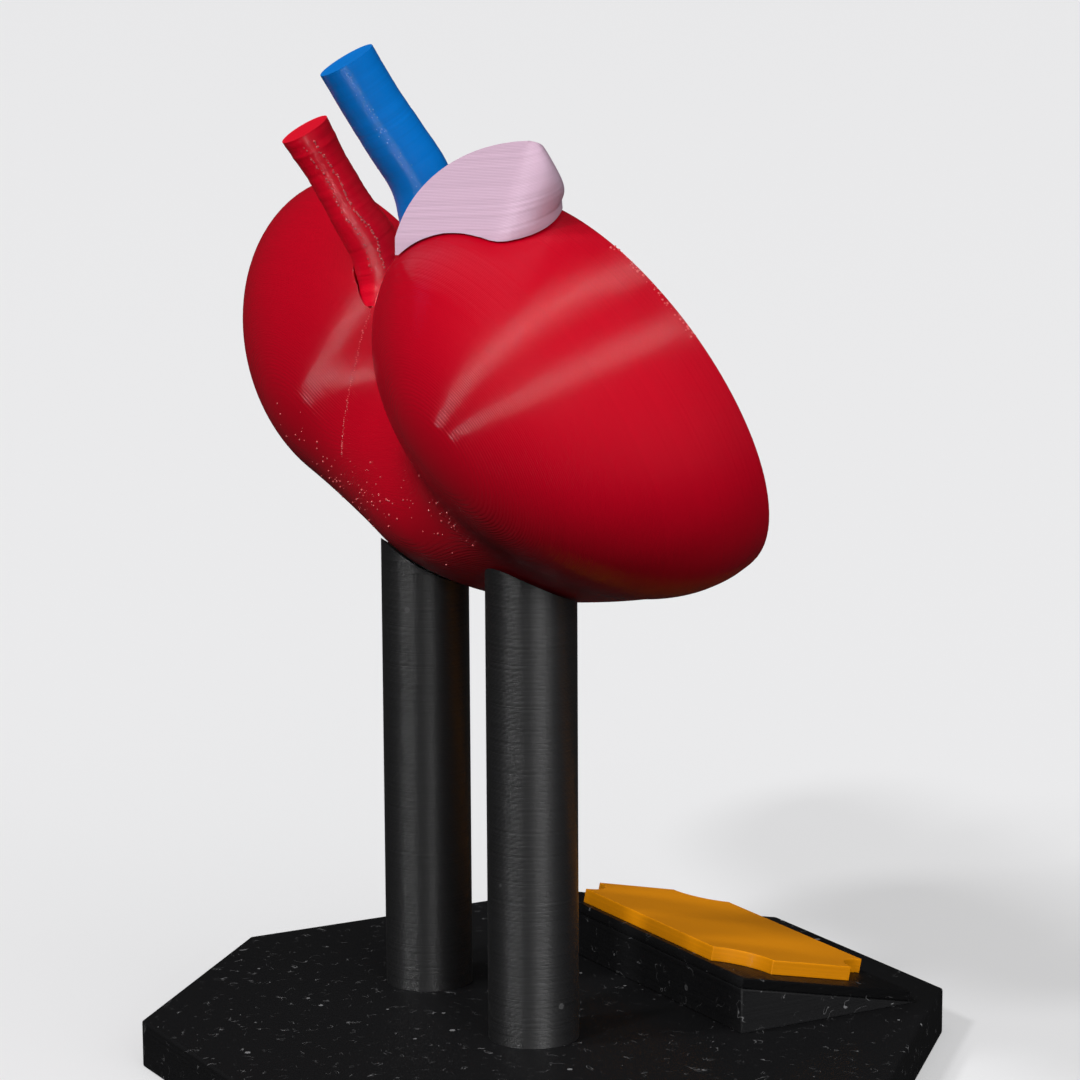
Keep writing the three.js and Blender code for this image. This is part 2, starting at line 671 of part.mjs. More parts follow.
// Assembly
const group = new THREE.Group();
const grownKidney = halfKidney(SEAT_GAP);
const places = pyramidPlaces();

let kidney = halfKidney().subtract(sinus());
for (const place of postPlaces) {
  kidney = kidney.subtract(pegSocket(place));
}
kidney = kidney.subtract(taperedBar(ARTERY_ROUTE, ARTERY_RADII, SOCKET_GAP));
kidney = kidney.subtract(taperedBar(VEIN_ROUTE, VEIN_RADII, SOCKET_GAP));
kidney = kidney.subtract(pelvis(places, SOCKET_GAP));
for (const place of places) {
  kidney = kidney.subtract(reliefSolid(pyramidShape(place, SOCKET_GAP), SOCKET_GAP));
}

group.add(piece('base_plate', basePlate(), blackPlastic()));
for (const place of postPlaces) {
  group.add(piece(place.name, post(place, grownKidney), blackPlastic()));
}
group.add(piece('label_stand', labelStand(), blackPlastic()));
group.add(piece('label_backing', labelBacking(), blackPlastic()));
group.add(piece('label_plate', labelPlate(), orangePlastic()));
group.add(piece('kidney_body', kidney, redPlastic()));
group.add(piece('renal_artery', taperedBar(ARTERY_ROUTE, ARTERY_RADII), redPlastic()));
group.add(piece('renal_vein', taperedBar(VEIN_ROUTE, VEIN_RADII), bluePlastic()));
group.add(piece('adrenal_gland', adrenalGland(grownKidney), lilacPlastic()));
group.add(piece('renal_pelvis', pelvis(places, 0), creamPlastic()));
places.forEach((place, i) => {
  group.add(piece(`renal_pyramid_${i + 1}`, reliefSolid(pyramidShape(place, 0), 0), rosePlastic()));
});

export default group;
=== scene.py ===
# Kidney anatomy model on a two-post stand, 3-D printed in separate coloured pieces.
# Metres, +Z up. The cut face of the half kidney and the label look towards -Y.
import math
import bmesh
import bpy
import numpy as np
from mathutils import Matrix, Vector


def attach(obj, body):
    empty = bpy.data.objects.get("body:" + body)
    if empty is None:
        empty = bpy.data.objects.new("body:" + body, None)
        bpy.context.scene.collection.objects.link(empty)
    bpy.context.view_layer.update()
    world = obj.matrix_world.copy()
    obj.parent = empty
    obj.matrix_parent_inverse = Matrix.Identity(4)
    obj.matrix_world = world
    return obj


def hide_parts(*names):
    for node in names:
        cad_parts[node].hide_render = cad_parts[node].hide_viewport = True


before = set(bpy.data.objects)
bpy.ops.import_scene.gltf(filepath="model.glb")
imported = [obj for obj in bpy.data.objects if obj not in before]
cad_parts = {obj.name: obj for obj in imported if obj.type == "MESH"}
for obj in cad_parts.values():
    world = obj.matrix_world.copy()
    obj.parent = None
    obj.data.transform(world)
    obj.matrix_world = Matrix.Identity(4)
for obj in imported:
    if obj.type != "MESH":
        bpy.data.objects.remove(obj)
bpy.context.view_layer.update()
bpy.ops.object.select_all(action="DESELECT")
MM = 0.001


# The photographer's place, the table and the studio
# The camera stands behind and to the left of the model, low, with a long lens.
# The table is one wide pale disc, and the room around it has the same tone.
CAMERA_PLACE = (-0.4029, 0.22634, 0.14793)
VIEW_YAW = -0.5104
VIEW_PITCH = 0.1682
VIEW_ROLL = -0.0055
LENS = 119.18

camera = bpy.data.objects.new("camera", bpy.data.cameras.new("camera"))
bpy.context.scene.collection.objects.link(camera)
camera.data.sensor_width = 36
camera.data.lens = LENS
camera.data.clip_start = 0.02
camera.data.clip_end = 200
turned = Matrix.Rotation(VIEW_YAW - math.pi / 2, 4, "Z")
raised = Matrix.Rotation(math.pi / 2 - VIEW_PITCH, 4, "X")
levelled = Matrix.Rotation(VIEW_ROLL, 4, "Z")
camera.matrix_world = Matrix.Translation(CAMERA_PLACE) @ turned @ raised @ levelled
bpy.context.scene.camera = camera
bpy.context.scene.view_settings.view_transform = "Standard"


def add_node(tree, kind, sockets=None, **settings):
    """A node with its settings, and its sockets linked or set"""
    node = tree.nodes.new(kind)
    for setting, value in settings.items():
        setattr(node, setting, value)
    for socket, value in (sockets or {}).items():
        if isinstance(value, bpy.types.NodeSocket):
            tree.links.new(value, node.inputs[socket])
        else:
            node.inputs[socket].default_value = value
    return node


def math_node(tree, operation, *values):
    sockets = dict(enumerate(values))
    return add_node(tree, "ShaderNodeMath", sockets, operation=operation).outputs[0]


def new_material(name):
    material = bpy.data.materials.new(name)
    material.use_nodes = True
    return material, material.node_tree, material.node_tree.nodes["Principled BSDF"]


def seen_directly(tree):
    """1 for what the camera sees, also through glass"""
    rays = add_node(tree, "ShaderNodeLightPath")
    return math_node(tree, "MAXIMUM", rays.outputs["Is Camera Ray"], rays.outputs["Is Transmission Ray"])


PALE = 0.84                      # of the room as the camera sees it
TABLE_RADIUS = 40
TABLE_PAPER = (0.50, 0.50, 0.51, 1)
TABLE_BOUNCE = (0.02, 0.02, 0.02, 1)
TABLE_GLOW = 0.34
ROOM_DARK = 0.01
ROOM_BRIGHT = 1.28
ROOM_DARK_BELOW = 0.4            # cosine of the turn away from the bright side
ROOM_BRIGHT_SIDE = Vector((-0.60, 0.12, 0.79))
ROOM_IN_GLOSS = 0.02             # the plastics show little of the pale room in their gloss

bpy.ops.mesh.primitive_circle_add(vertices=128, radius=TABLE_RADIUS, fill_type="NGON")
table = bpy.context.object
table.name = "table"
material, tree, shader = new_material("table_paper")
grain = add_node(tree, "ShaderNodeTexNoise", {"Scale": 30, "Detail": 3})
seen = seen_directly(tree)
tone = add_node(tree, "ShaderNodeMix", {6: TABLE_BOUNCE, 7: TABLE_PAPER, "Factor": seen}, data_type="RGBA")
weave = add_node(tree, "ShaderNodeBump", {
    "Height": grain.outputs["Fac"], "Distance": 0.2 * MM, "Strength": 0.2,
})
tree.links.new(tone.outputs[2], shader.inputs["Base Color"])
tree.links.new(weave.outputs["Normal"], shader.inputs["Normal"])
tree.links.new(math_node(tree, "MULTIPLY", seen, TABLE_GLOW), shader.inputs["Emission Strength"])
shader.inputs["Emission Color"].default_value = (1, 1, 1, 1)
shader.inputs["Roughness"].default_value = 0.95
shader.inputs["Specular IOR Level"].default_value = 0.1
table.data.materials.append(material)

world = bpy.data.worlds.new("studio")
world.use_nodes = True
bpy.context.scene.world = world
tree = world.node_tree
room = tree.nodes["Background"]
room.inputs["Color"].default_value = (1, 1, 1, 1)
towards = add_node(tree, "ShaderNodeTexCoord").outputs["Generated"]
to_bright = add_node(tree, "ShaderNodeVectorMath", {
    0: towards, 1: ROOM_BRIGHT_SIDE.normalized(),
}, operation="DOT_PRODUCT").outputs["Value"]
fill = add_node(tree, "ShaderNodeMapRange", {
    "Value": to_bright, "From Min": ROOM_DARK_BELOW, "From Max": 1.0,
    "To Min": ROOM_DARK, "To Max": ROOM_BRIGHT,
}).outputs[0]
in_gloss = add_node(tree, "ShaderNodeLightPath").outputs["Is Glossy Ray"]
unseen = add_node(tree, "ShaderNodeMix", {
    "Factor": in_gloss, "A": fill, "B": ROOM_IN_GLOSS,
}, data_type="FLOAT").outputs["Result"]
strength = add_node(tree, "ShaderNodeMix", {
    "Factor": seen_directly(tree), "A": unseen, "B": PALE,
}, data_type="FLOAT").outputs["Result"]
tree.links.new(strength, room.inputs["Strength"])


def soft_lamp(name, direction, width, level):
    """A far round soft box of a width in degrees; level 1 alone renders a colour as written"""
    lamp = bpy.data.lights.new(name, "SUN")
    lamp.angle = math.radians(width)
    lamp.energy = level * math.pi
    stand = bpy.data.objects.new(name, lamp)
    bpy.context.scene.collection.objects.link(stand)
    towards = Vector(direction).normalized()
    stand.location = towards
    stand.rotation_euler = towards.to_track_quat("Z", "Y").to_euler()
    return stand


# Two narrow lamps behind draw the light bands on the kidney. A wide one on the left fills the
# shade and has no gloss. A low one reaches the base, the posts and the wedge alone.
soft_lamp("lamp_behind", (0.15, 0.682, 0.716), 7, 0.31)
soft_lamp("lamp_beside", (-0.229, 0.728, 0.646), 7, 0.34)
lamp_left = soft_lamp("lamp_left", (-0.97, 0.0, 0.2), 60, 0.24)
lamp_left.visible_glossy = False
lamp_low = soft_lamp("lamp_low", (-0.985, 0.10, 0.12), 34, 0.80)
lit_from_low = bpy.data.collections.new("lit_from_low")
lamp_low.light_linking.receiver_collection = lit_from_low


# Base
# An eight-sided plate printed flat in black plastic, with two blind sockets for the posts' feet.
# Its top has gathered dust and lint.
BASE_ACROSS_FLATS = 100 * MM
BASE_THICKNESS = 6.4 * MM
BASE_EDGE = 0.4 * MM
SOCKET_GAP = 0.3 * MM
FOOT_DIAMETER = 8 * MM
FOOT_LENGTH = 4 * MM
POST_PLACES = {"post_left": (-11.25 * MM, 8.4 * MM), "post_right": (18.05 * MM, 8.4 * MM)}
LAYER = 0.16 * MM
BLACK = (0.0062, 0.0062, 0.0068, 1)


def select_only(piece):
    bpy.ops.object.select_all(action="DESELECT")
    piece.select_set(True)
    bpy.context.view_layer.objects.active = piece


def keep_place(piece):
    """The piece's place, turn and size go into its mesh"""
    select_only(piece)
    bpy.ops.object.transform_apply(location=True, rotation=True, scale=True)


def upright_cylinder(name, diameter, place, bottom, top, sides=96, turn=0.0):
    middle = (place[0], place[1], (bottom + top) / 2)
    bpy.ops.mesh.primitive_cylinder_add(
        vertices=sides, radius=diameter / 2, depth=top - bottom, location=middle, rotation=(0, 0, turn))
    piece = bpy.context.object
    piece.name = name
    keep_place(piece)
    return piece


def apply_modifier(piece, kind, **settings):
    modifier = piece.modifiers.new(kind.title(), kind)
    for setting, value in settings.items():
        setattr(modifier, setting, value)
    select_only(piece)
    bpy.ops.object.modifier_apply(modifier=modifier.name)


def cut_or_join(piece, tool, operation, keep_tool=False):
    apply_modifier(piece, "BOOLEAN", object=tool, operation=operation, solver="MANIFOLD")
    if not keep_tool:
        bpy.data.objects.remove(tool, do_unlink=True)


def round_edges(piece, width, segments=2, angle=30):
    apply_modifier(piece, "BEVEL", width=width, segments=segments, limit_method="ANGLE",
                   angle_limit=math.radians(angle), harden_normals=False)


def smooth_faces(piece, angle=35):
    select_only(piece)
    bpy.ops.object.shade_smooth_by_angle(angle=math.radians(angle))


FLAT_LIMIT = math.cos(math.radians(0.5))


def keep_flat(piece, *ways):
    """Faces that look one of these ways are flat, so the rounded edges round them don't shade them"""
    for face in piece.data.polygons:
        if any(face.normal.dot(Vector(way)) > FLAT_LIMIT for way in ways):
            face.use_smooth = False


def fit(piece, body, material, slot, *nodes):
    """The finished piece gets its material, rides on its body and stands for its nodes"""
    piece.data.materials.clear()
    piece.data.materials.append(material)
    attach(piece, body)
    if nodes:
        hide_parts(*nodes)


def dot_node(tree, vector, direction):
    sockets = {0: vector, 1: direction}
    return add_node(tree, "ShaderNodeVectorMath", sockets, operation="DOT_PRODUCT").outputs["Value"]


def ramp(tree, value, low, high, out_low=0.0, out_high=1.0):
    """A soft step from one value to another"""
    sockets = {"Value": value, "From Min": low, "From Max": high, "To Min": out_low, "To Max": out_high}
    return add_node(tree, "ShaderNodeMapRange", sockets, interpolation_type="SMOOTHSTEP").outputs[0]


def blend_colour(tree, factor, first, second, blend="MIX"):
    sockets = {"Factor": factor, "A": first, "B": second}
    mix = add_node(tree, "ShaderNodeMix", sockets, data_type="RGBA", blend_type=blend)
    return mix.outputs["Result"]


def vector_node(tree, operation, *values):
    sockets = dict(enumerate(values))
    return add_node(tree, "ShaderNodeVectorMath", sockets, operation=operation).outputs["Vector"]


def scaled(tree, vector, factor):
    sockets = {0: vector, "Scale": factor}
    return add_node(tree, "ShaderNodeVectorMath", sockets, operation="SCALE").outputs["Vector"]


BEAD_TURN = math.radians(62)      # that a layer's rounded edge leans up and down
LEVEL_FROM = 0.95                 # steepness at which a face starts to count as level
LEVEL_FULLY = 0.995


def bead_normal(tree, normal, build_up, rise, wander):
    """The normal swings over each layer's rounded edge; level tops of the layers stay flat"""
    steepness = dot_node(tree, normal, build_up)
    phase = math_node(tree, "FRACT", math_node(tree, "DIVIDE", rise, LAYER))
    swing = math_node(tree, "MULTIPLY", math_node(tree, "SUBTRACT", phase, 0.5), 2 * BEAD_TURN)
    swing = math_node(tree, "MULTIPLY_ADD", math_node(tree, "SUBTRACT", wander, 0.5), BEAD_TURN, swing)
    level = math_node(tree, "ABSOLUTE", steepness)
    swing = math_node(tree, "MULTIPLY", swing, ramp(tree, level, LEVEL_FROM, LEVEL_FULLY, 1.0, 0.0))
    leaning = math_node(tree, "ADD", math_node(tree, "ARCSINE", steepness), swing)
    leaning = math_node(tree, "MINIMUM", math_node(tree, "MAXIMUM", leaning, -math.pi / 2), math.pi / 2)
    outward = vector_node(tree, "SUBTRACT", normal, scaled(tree, build_up, steepness))
    outward = vector_node(tree, "NORMALIZE", outward)
    out_part = scaled(tree, outward, math_node(tree, "COSINE", leaning))
    up_part = scaled(tree, build_up, math_node(tree, "SINE", leaning))
    return vector_node(tree, "NORMALIZE", vector_node(tree, "ADD", out_part, up_part))


PATCH_SCALE = 110
DRIFT_SCALE = 38
FINE_LINE = 2.2 * LAYER           # spacing of the fine and the coarse differences between layers
COARSE_LINE = 9 * LAYER
DUST = (0.42, 0.42, 0.43, 1)
LINT_SCALE = 330
LINT_CLUMP_SCALE = 620
LINT_WIDTH = 0.007
PORE_SCALE = 2600
PORE_DEPTH = 0.02 * MM
BODY_ROUGHNESS = 0.5
ROUGHNESS_SPREAD = 0.12


def line_noise(tree, rise, spacing, detail):
    """Noise that changes along the build-up alone, so it is the same all along a layer"""
    sockets = {"W": math_node(tree, "MULTIPLY", rise, 1 / spacing), "Scale": 1, "Detail": detail}
    return add_node(tree, "ShaderNodeTexNoise", sockets, noise_dimensions="1D").outputs["Fac"]


def centred(tree, value, spread, middle):
    """A 0 to 1 value spread about a middle"""
    return math_node(tree, "MULTIPLY_ADD", math_node(tree, "SUBTRACT", value, 0.5), spread, middle)


def printed_plastic(name, colour, build_up, roughness=0.16, shine=0.8, under_shine=0.1, line_depth=0.12,
                    tone_depth=0.08, mottle=0.10, grain=0.35, dust=0.0, dust_scale=260, lint=0.0):
    """Plastic laid down in fine layers stacked along build_up: shine is how much of the glossy skin
    shows, roughness is the skin's, and under_shine is the gloss of the plastic under it"""
    material, tree, shader = new_material(name)
    place = add_node(tree, "ShaderNodeTexCoord").outputs["Object"]
    rise = dot_node(tree, place, build_up)
    geometry = add_node(tree, "ShaderNodeNewGeometry")

    # Layers differ a little in width, tone and gloss, and fade in and out along their length
    patches = add_node(tree, "ShaderNodeTexNoise", {
        "Vector": place, "Scale": PATCH_SCALE, "Detail": 3,
    }).outputs["Fac"]
    fine = line_noise(tree, rise, FINE_LINE, 2)
    coarse = line_noise(tree, rise, COARSE_LINE, 1)
    lines = centred(tree, fine, ramp(tree, patches, 0.3, 0.7, 0.5, 1.2), 0.5)

    # The colour drifts slowly over the piece and a little from layer to layer
    drift = add_node(tree, "ShaderNodeTexNoise", {"Vector": place, "Scale": DRIFT_SCALE, "Detail": 2})
    dark = tuple(c * (1 - mottle) for c in colour[:3]) + (1,)
    light = tuple(min(c * (1 + mottle), 1) for c in colour[:3]) + (1,)
    body = blend_colour(tree, drift.outputs["Fac"], dark, light)
    banded = math_node(tree, "ADD", math_node(tree, "MULTIPLY", lines, 0.6),
                       math_node(tree, "MULTIPLY", coarse, 0.4))
    shade = ramp(tree, banded, 0.25, 0.75, 1 - tone_depth, 1 + tone_depth)
    grey = add_node(tree, "ShaderNodeCombineColor", {0: shade, 1: shade, 2: shade}).outputs[0]
    body = blend_colour(tree, 1.0, body, grey, "MULTIPLY")

    # Dust lies in small pale specks, more on what faces up
    if dust > 0:
        specks = add_node(tree, "ShaderNodeTexVoronoi", {"Vector": place, "Scale": dust_scale})
        size = ramp(tree, patches, 0.45, 0.8, 0.02, 0.16)
        spot = math_node(tree, "LESS_THAN", specks.outputs["Distance"], size)
        upward = ramp(tree, dot_node(tree, geometry.outputs["Normal"], (0, 0, 1)), 0.0, 0.8, 0.25, 1.0)
        amount = math_node(tree, "MULTIPLY", math_node(tree, "MULTIPLY", spot, upward), dust)
        body = blend_colour(tree, amount, body, DUST)

    # Lint is short pieces of thin curved lines
    if lint > 0:
        hair = add_node(tree, "ShaderNodeTexNoise", {
            "Vector": place, "Scale": LINT_SCALE, "Detail": 1, "Distortion": 1.6,
        }).outputs["Fac"]
        clump = add_node(tree, "ShaderNodeTexNoise", {
            "Vector": place, "Scale": LINT_CLUMP_SCALE, "Detail": 0,
        }).outputs["Fac"]
        line = math_node(tree, "COMPARE", hair, 0.5, LINT_WIDTH)
        piece = ramp(tree, clump, 0.58, 0.72)
        amount = math_node(tree, "MULTIPLY", math_node(tree, "MULTIPLY", line, piece), lint)
        body = blend_colour(tree, amount, body, DUST)
    tree.links.new(body, shader.inputs["Base Color"])

    # The plastic under the skin is duller in some layers and patches
    gloss = centred(tree, lines, ROUGHNESS_SPREAD, BODY_ROUGHNESS)
    gloss = centred(tree, patches, ROUGHNESS_SPREAD, gloss)
    tree.links.new(gloss, shader.inputs["Roughness"])
    shader.inputs["Specular IOR Level"].default_value = under_shine
    shader.inputs["Coat Weight"].default_value = shine
    shader.inputs["Coat Roughness"].default_value = roughness

    # Light sinks into the plastic and softens the layers' rounded edges, while the glossy skin
    # shows them in full, with fine pores
    pores = add_node(tree, "ShaderNodeTexNoise", {"Vector": place, "Scale": PORE_SCALE, "Detail": 2})
    beads = bead_normal(tree, geometry.outputs["Normal"], build_up, rise, fine)
    skin = add_node(tree, "ShaderNodeBump", {
        "Height": pores.outputs["Fac"], "Distance": PORE_DEPTH, "Strength": grain, "Normal": beads,
    })
    softened = vector_node(tree, "ADD", scaled(tree, geometry.outputs["Normal"], 1 - line_depth),
                           scaled(tree, beads, line_depth))
    tree.links.new(vector_node(tree, "NORMALIZE", softened), shader.inputs["Normal"])
    tree.links.new(skin.outputs["Normal"], shader.inputs["Coat Normal"])
    return material


black_flat_print = printed_plastic("black_flat_print", BLACK, (0, 0, 1), roughness=0.45, shine=0.25,
                                   dust=0.45, lint=0.3)
black_post_print = printed_plastic("black_post_print", BLACK, (0, 0, 1), roughness=0.34, shine=1.0,
                                   under_shine=0.4, tone_depth=0.16, grain=0.8, dust=0.35, dust_scale=220)

corner_diameter = BASE_ACROSS_FLATS / math.cos(math.pi / 8)
base = upright_cylinder("base_print", corner_diameter, (0, 0), 0, BASE_THICKNESS, sides=8, turn=math.pi / 8)
round_edges(base, BASE_EDGE, segments=3)
for x, y in POST_PLACES.values():
    socket_floor = BASE_THICKNESS - FOOT_LENGTH - SOCKET_GAP
    socket_width = FOOT_DIAMETER + 2 * SOCKET_GAP
    socket = upright_cylinder("socket", socket_width, (x, y), socket_floor, 2 * BASE_THICKNESS)
    cut_or_join(base, socket, "DIFFERENCE")
smooth_faces(base)
eighths = [math.radians(45 * i) for i in range(8)]
keep_flat(base, (0, 0, 1), *((math.cos(turn), math.sin(turn), 0) for turn in eighths))
fit(base, "stand", black_flat_print, "black_print", "base_plate")
lit_from_low.objects.link(base)


# Half kidney as a form
# Three soft-blended egg shapes, cut by a face that leans back. The posts and the gland are
# cut to the same form grown by a small seat gap.
SEAT_GAP = 0.3 * MM
FACE_MIDDLE = np.array([0, -1.7, 91.4]) * MM
FACE_LEAN = math.radians(16.8)
# Places and half sizes in millimetres from the middle of the face, turns in degrees
NEAR_LOBE = {"middle": (-16.1, 5.4, -0.6), "half": (34.4, 25.1, 21), "roll": 24.6, "nod": 15}
FAR_LOBE = {"middle": (44.2, 5.2, 1.2), "half": (28.1, 13.4, 20.5), "roll": 24.8, "nod": 14.7}
BELLY = {"middle": (8.3, -5.5, -15.1), "half": (35.4, 25.5, 15.2), "roll": 2.2, "nod": -6}
LOBE_BLEND = 7.5 * MM
BELLY_BLEND = 9.5 * MM
CORE_X = 15 * MM
CORE_UP = -13 * MM
face_up = np.array([0, math.sin(FACE_LEAN), math.cos(FACE_LEAN)])
face_out = np.array([0, -math.cos(FACE_LEAN), math.sin(FACE_LEAN)])


def on_face(x, up, out=0.0):
    """A point given across, up and out from the middle of the cut face"""
    return FACE_MIDDLE + np.array([1.0, 0, 0]) * x + face_up * up + face_out * out


def lobe_distance(points, lobe):
    roll, nod = math.radians(lobe["roll"]), math.radians(lobe["nod"])
    away = points - np.array(lobe["middle"]) * MM
    along = math.cos(roll) * away[:, 0] + math.sin(roll) * away[:, 2]
    risen = -math.sin(roll) * away[:, 0] + math.cos(roll) * away[:, 2]
    back = math.cos(nod) * away[:, 1] + math.sin(nod) * risen
    up = -math.sin(nod) * away[:, 1] + math.cos(nod) * risen
    turned_away = np.stack([along, back, up], axis=1)
    half = np.array(lobe["half"]) * MM
    share = np.linalg.norm(turned_away / half, axis=1)
    steepness = np.linalg.norm(turned_away / half ** 2, axis=1)
    return share * (share - 1) / np.maximum(steepness, 1e-6)


def soft_nearer(first, second, width):
    overlap = np.maximum(width - np.abs(first - second), 0) / width
    return np.minimum(first, second) - overlap ** 2 * width / 4


def kidney_distance(points):
    local = np.atleast_2d(points) - FACE_MIDDLE
    lobes = soft_nearer(lobe_distance(local, NEAR_LOBE), lobe_distance(local, FAR_LOBE), LOBE_BLEND)
    return soft_nearer(lobes, lobe_distance(local, BELLY), BELLY_BLEND)


def reach_from(start, directions, allowance):
    """How far rays from a point run before they leave the kidney grown by an allowance"""
    far = np.full(len(directions), 1 * MM)
    inside = np.ones(len(directions), dtype=bool)
    while inside.any():
        inside = kidney_distance(start + directions * far[:, None]) <= allowance
        far[inside] += 1 * MM
    near = far - 1 * MM
    for _ in range(18):
        middle = (near + far) / 2
        outside = kidney_distance(start + directions * middle[:, None]) > allowance
        far = np.where(outside, middle, far)
        near = np.where(outside, near, middle)
    return near


def mesh_points(piece):
    points = np.empty(len(piece.data.vertices) * 3)
    piece.data.vertices.foreach_get("co", points)
    return points.reshape(-1, 3)


def move_points(piece, points):
    piece.data.vertices.foreach_set("co", points.ravel())
    piece.data.update()


def half_kidney(name, allowance, around, rings):
    """A ball halved at the cut face, whose points are pushed out to the kidney's surface"""
    bpy.ops.mesh.primitive_uv_sphere_add(
        segments=around, ring_count=rings, radius=1, rotation=(math.pi / 2 - FACE_LEAN, 0, 0))
    piece = bpy.context.object
    piece.name = name
    keep_place(piece)
    bpy.ops.object.mode_set(mode="EDIT")
    bpy.ops.mesh.select_all(action="SELECT")
    bpy.ops.mesh.bisect(plane_co=(0, 0, 0), plane_no=tuple(face_out), use_fill=True, clear_outer=True)
    bpy.ops.object.mode_set(mode="OBJECT")
    start = on_face(CORE_X, CORE_UP, allowance)
    directions = mesh_points(piece)
    directions /= np.linalg.norm(directions, axis=1)[:, None]
    move_points(piece, start + directions * reach_from(start, directions, allowance)[:, None])
    return piece


# Posts
# Two round black posts, printed standing. Each has a foot spigot glued into the base, a top that
# follows the kidney's underside, and a thinner peg that the kidney drops on to.
POST_DIAMETER = 11.8 * MM
PEG_DIAMETER = 6.5 * MM
PEG_LENGTH = 9 * MM
FUSED = 1 * MM                     # the parts of a post run this far into each other

grown_kidney = half_kidney("grown_kidney", SEAT_GAP, 192, 120)
seats = {}
for name, (x, y) in POST_PLACES.items():
    heights = np.arange(BASE_THICKNESS, FACE_MIDDLE[2], 0.05 * MM)
    column = np.stack([np.full_like(heights, x), np.full_like(heights, y), heights], axis=1)
    seat = heights[np.argmax(kidney_distance(column) <= 0)]
    seats[name] = seat
    uncut_top = seat + POST_DIAMETER / 2
    post = upright_cylinder(name + "_print", POST_DIAMETER, (x, y), BASE_THICKNESS, uncut_top)
    cut_or_join(post, grown_kidney, "DIFFERENCE", keep_tool=True)
    foot_end = BASE_THICKNESS - FOOT_LENGTH
    foot = upright_cylinder("foot", FOOT_DIAMETER, (x, y), foot_end, BASE_THICKNESS + FUSED, 48)
    cut_or_join(post, foot, "UNION")
    peg = upright_cylinder("peg", PEG_DIAMETER, (x, y), seat - FUSED, seat + PEG_LENGTH, 48)
    cut_or_join(post, peg, "UNION")
    smooth_faces(post)
    fit(post, "stand", black_post_print, "black_print", name)
    lit_from_low.objects.link(post)


# Label stand
# A black plastic wedge at the front of the base, with a thin backing slab on its slope. Both are
# printed flat, and the slab covers the slope nearly to its lower edge.
STAND_WIDTH = 51 * MM
STAND_DEPTH = 28.1 * MM
STAND_HEIGHT = 6.2 * MM
STAND_X = 1 * MM
STAND_MARGIN = 6.8 * MM            # from the base's front flat to the wedge's thin edge
STAND_WALL_Y = STAND_DEPTH + STAND_MARGIN - BASE_ACROSS_FLATS / 2
SLAB_THICKNESS = 1.4 * MM
SLAB_LENGTH = 27.3 * MM
WEDGE_EDGE = 0.25 * MM
SLAB_EDGE = 0.2 * MM
slope = math.atan2(STAND_HEIGHT, STAND_DEPTH)
slope_up = Vector((0, -math.sin(slope), math.cos(slope)))
slope_down = Vector((0, -math.cos(slope), -math.sin(slope)))
slope_top = Vector((STAND_X, STAND_WALL_Y, BASE_THICKNESS + STAND_HEIGHT))


def on_slope(x, down, up):
    """A point across, down and above the slope, from the middle of its upper edge"""
    return slope_top + Vector((x, 0, 0)) + slope_down * down + slope_up * up


def block(name, middle, size, turn=(0, 0, 0)):
    bpy.ops.mesh.primitive_cube_add(size=1, location=middle, rotation=turn, scale=size)
    piece = bpy.context.object
    piece.name = name
    keep_place(piece)
    return piece


wedge_middle = (STAND_X, STAND_WALL_Y - STAND_DEPTH / 2, BASE_THICKNESS + STAND_HEIGHT / 2)
wedge = block("label_stand_print", wedge_middle, (STAND_WIDTH, STAND_DEPTH, STAND_HEIGHT))
bpy.ops.object.mode_set(mode="EDIT")
bpy.ops.mesh.select_all(action="SELECT")
bpy.ops.mesh.bisect(plane_co=tuple(slope_top), plane_no=tuple(slope_up), use_fill=True, clear_outer=True)
bpy.ops.object.mode_set(mode="OBJECT")
apply_modifier(wedge, "WELD", merge_threshold=0.01 * MM)
round_edges(wedge, WEDGE_EDGE)
smooth_faces(wedge)
keep_flat(wedge, slope_up, (1, 0, 0), (-1, 0, 0), (0, 1, 0), (0, -1, 0))
fit(wedge, "stand", black_flat_print, "black_print", "label_stand")
lit_from_low.objects.link(wedge)

slab = block("label_backing_print", on_slope(0, SLAB_LENGTH / 2, SLAB_THICKNESS / 2),
             (STAND_WIDTH, SLAB_LENGTH, SLAB_THICKNESS), (slope, 0, 0))
round_edges(slab, SLAB_EDGE)
smooth_faces(slab)
keep_flat(slab, slope_up, (1, 0, 0), (-1, 0, 0))
fit(slab, "stand", black_flat_print, "black_print", "label_backing")


# Label plate
# A bright orange plastic plate with its four corners scooped out, which lies on the backing slab.
# Its face is bare.
PLATE_WIDTH = 45.4 * MM
PLATE_LENGTH = 24.3 * MM
PLATE_THICKNESS = 1.95 * MM
PLATE_EDGE = 0.12 * MM
PLATE_SHIFT = 0.7 * MM
PLATE_SETBACK = 0.9 * MM
SCALLOP_RADIUS = 5.8 * MM
ORANGE = (0.86, 0.30, 0.002, 1)

